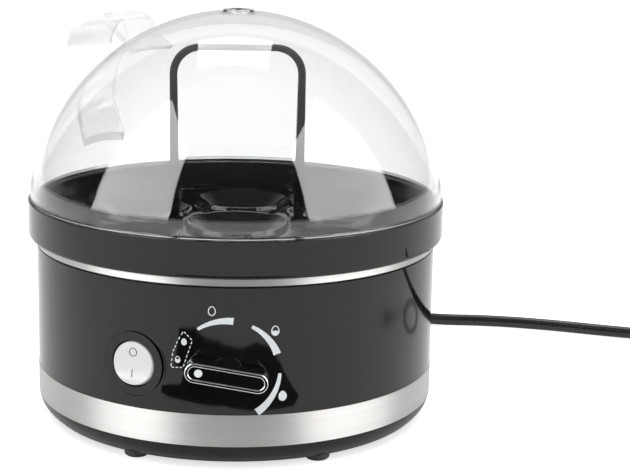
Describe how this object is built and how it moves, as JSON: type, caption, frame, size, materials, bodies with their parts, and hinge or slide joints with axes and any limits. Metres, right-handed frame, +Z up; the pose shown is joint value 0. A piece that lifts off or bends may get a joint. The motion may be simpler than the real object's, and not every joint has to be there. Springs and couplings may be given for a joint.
{
  "type": "egg cooker",
  "caption": "Round electric egg cooker with a clear domed lid, lift-out egg tray, steel-banded black base, front timer knob, rocker mains switch and mains cord",
  "frame": {"origin": "On the table plane, under the vertical axis of the appliance's round body", "axes": "+Z up, -Y towards the front with the timer knob, +X to the right seen from the front; the body is turned about Z"},
  "size_m": [0.386, 0.242, 0.1815],
  "materials": {
    "black_gloss": "glossy moulded black plastic",
    "black_satin": "satin moulded black plastic",
    "steel_satin": "circumferentially brushed stainless steel",
    "steel_inner": "plain stainless or zinc-plated steel",
    "chrome_trim": "bright chrome plating",
    "aluminium_cast": "die-cast or sheet aluminium",
    "brass_part": "plain brass",
    "rubber_black": "soft black rubber",
    "rubber_grey": "translucent grey silicone rubber",
    "cord_black": "smooth black flexible cord sheath",
    "clear_plastic": "clear smoke-free polycarbonate",
    "rocker_white": "translucent white plastic",
    "dot_white": "white plastic inlay",
    "board_green": "solder-masked circuit board",
    "part_blue": "moulded blue plastic component",
    "ceramic_white": "off-white heat-resistant insulator",
    "lead_brown": "brown lead insulation",
    "lead_blue": "blue lead insulation",
    "lead_white": "white heat-resistant lead insulation"
  },
  "bodies": {
    "base": {"base_pan": "black_satin", "base_screws": "steel_inner", "trim_band": "steel_satin", "housing_shell": "black_gloss", "upper_trim_ring": "steel_satin", "collar_ring": "black_gloss", "water_bowl": "steel_inner", "bowl_gasket": "rubber_grey", "heater_plate": "aluminium_cast", "heating_element": "steel_inner", "heat_shield": "aluminium_cast", "bowl_studs": "steel_inner", "stud_sleeves": "ceramic_white", "shield_nuts": "steel_inner", "temperature_sensor": "steel_inner", "sensor_bracket": "steel_inner", "thermal_fuse": "ceramic_white", "control_board": "board_green", "board_screws": "steel_inner", "potentiometer": "steel_inner", "relay": "part_blue", "capacitor": "black_gloss", "buzzer": "black_satin", "terminal_block": "ceramic_white", "cord_clamp": "black_satin", "clamp_screws": "steel_inner", "inner_cord": "cord_black", "switch_body": "black_gloss", "rocker_pin": "steel_inner", "switch_terminals": "brass_part", "cord_bush": "rubber_black", "cord_boot": "rubber_black", "cord_run": "cord_black", "cord_coil": "cord_black", "cord_tail": "cord_black", "plug_body": "rubber_black", "plug_pins": "chrome_trim", "plug_earth_strips": "brass_part", "lead_live": "lead_brown", "lead_neutral": "lead_blue", "lead_heater": "lead_white", "foot_front_left": "rubber_black", "foot_front_right": "rubber_black", "foot_rear_right": "rubber_black", "foot_rear_left": "rubber_black"},
    "egg_tray_set": {"egg_tray": "black_gloss", "tray_handle": "black_gloss"},
    "lid": {"lid_dome": "clear_plastic", "lid_handle": "clear_plastic"},
    "timer_knob": {"knob_body": "black_gloss", "knob_trim": "chrome_trim", "knob_dot": "dot_white", "timer_shaft": "steel_inner"},
    "mains_rocker": {"rocker": "rocker_white"}
  },
  "joints": [
    {"name": "egg_tray_lift", "type": "slide", "parent": "base", "child": "egg_tray_set", "axis": [0, 0, 1], "range_m": [0, 0.1]},
    {"name": "lid_lift", "type": "slide", "parent": "egg_tray_set", "child": "lid", "axis": [0, 0, 1], "range_m": [0, 0.12]},
    {"name": "timer_turn", "type": "hinge", "parent": "base", "child": "timer_knob", "pos_m": [0.001, -0.09, 0.0436], "axis": [0, 1, 0], "range_deg": [0, 228]},
    {"name": "rocker_tip", "type": "hinge", "parent": "base", "child": "mains_rocker", "pos_m": [-0.03692, -0.07811, 0.0436], "axis": [0.9041, -0.4274, 0], "range_deg": [0, 12]}
  ]
}
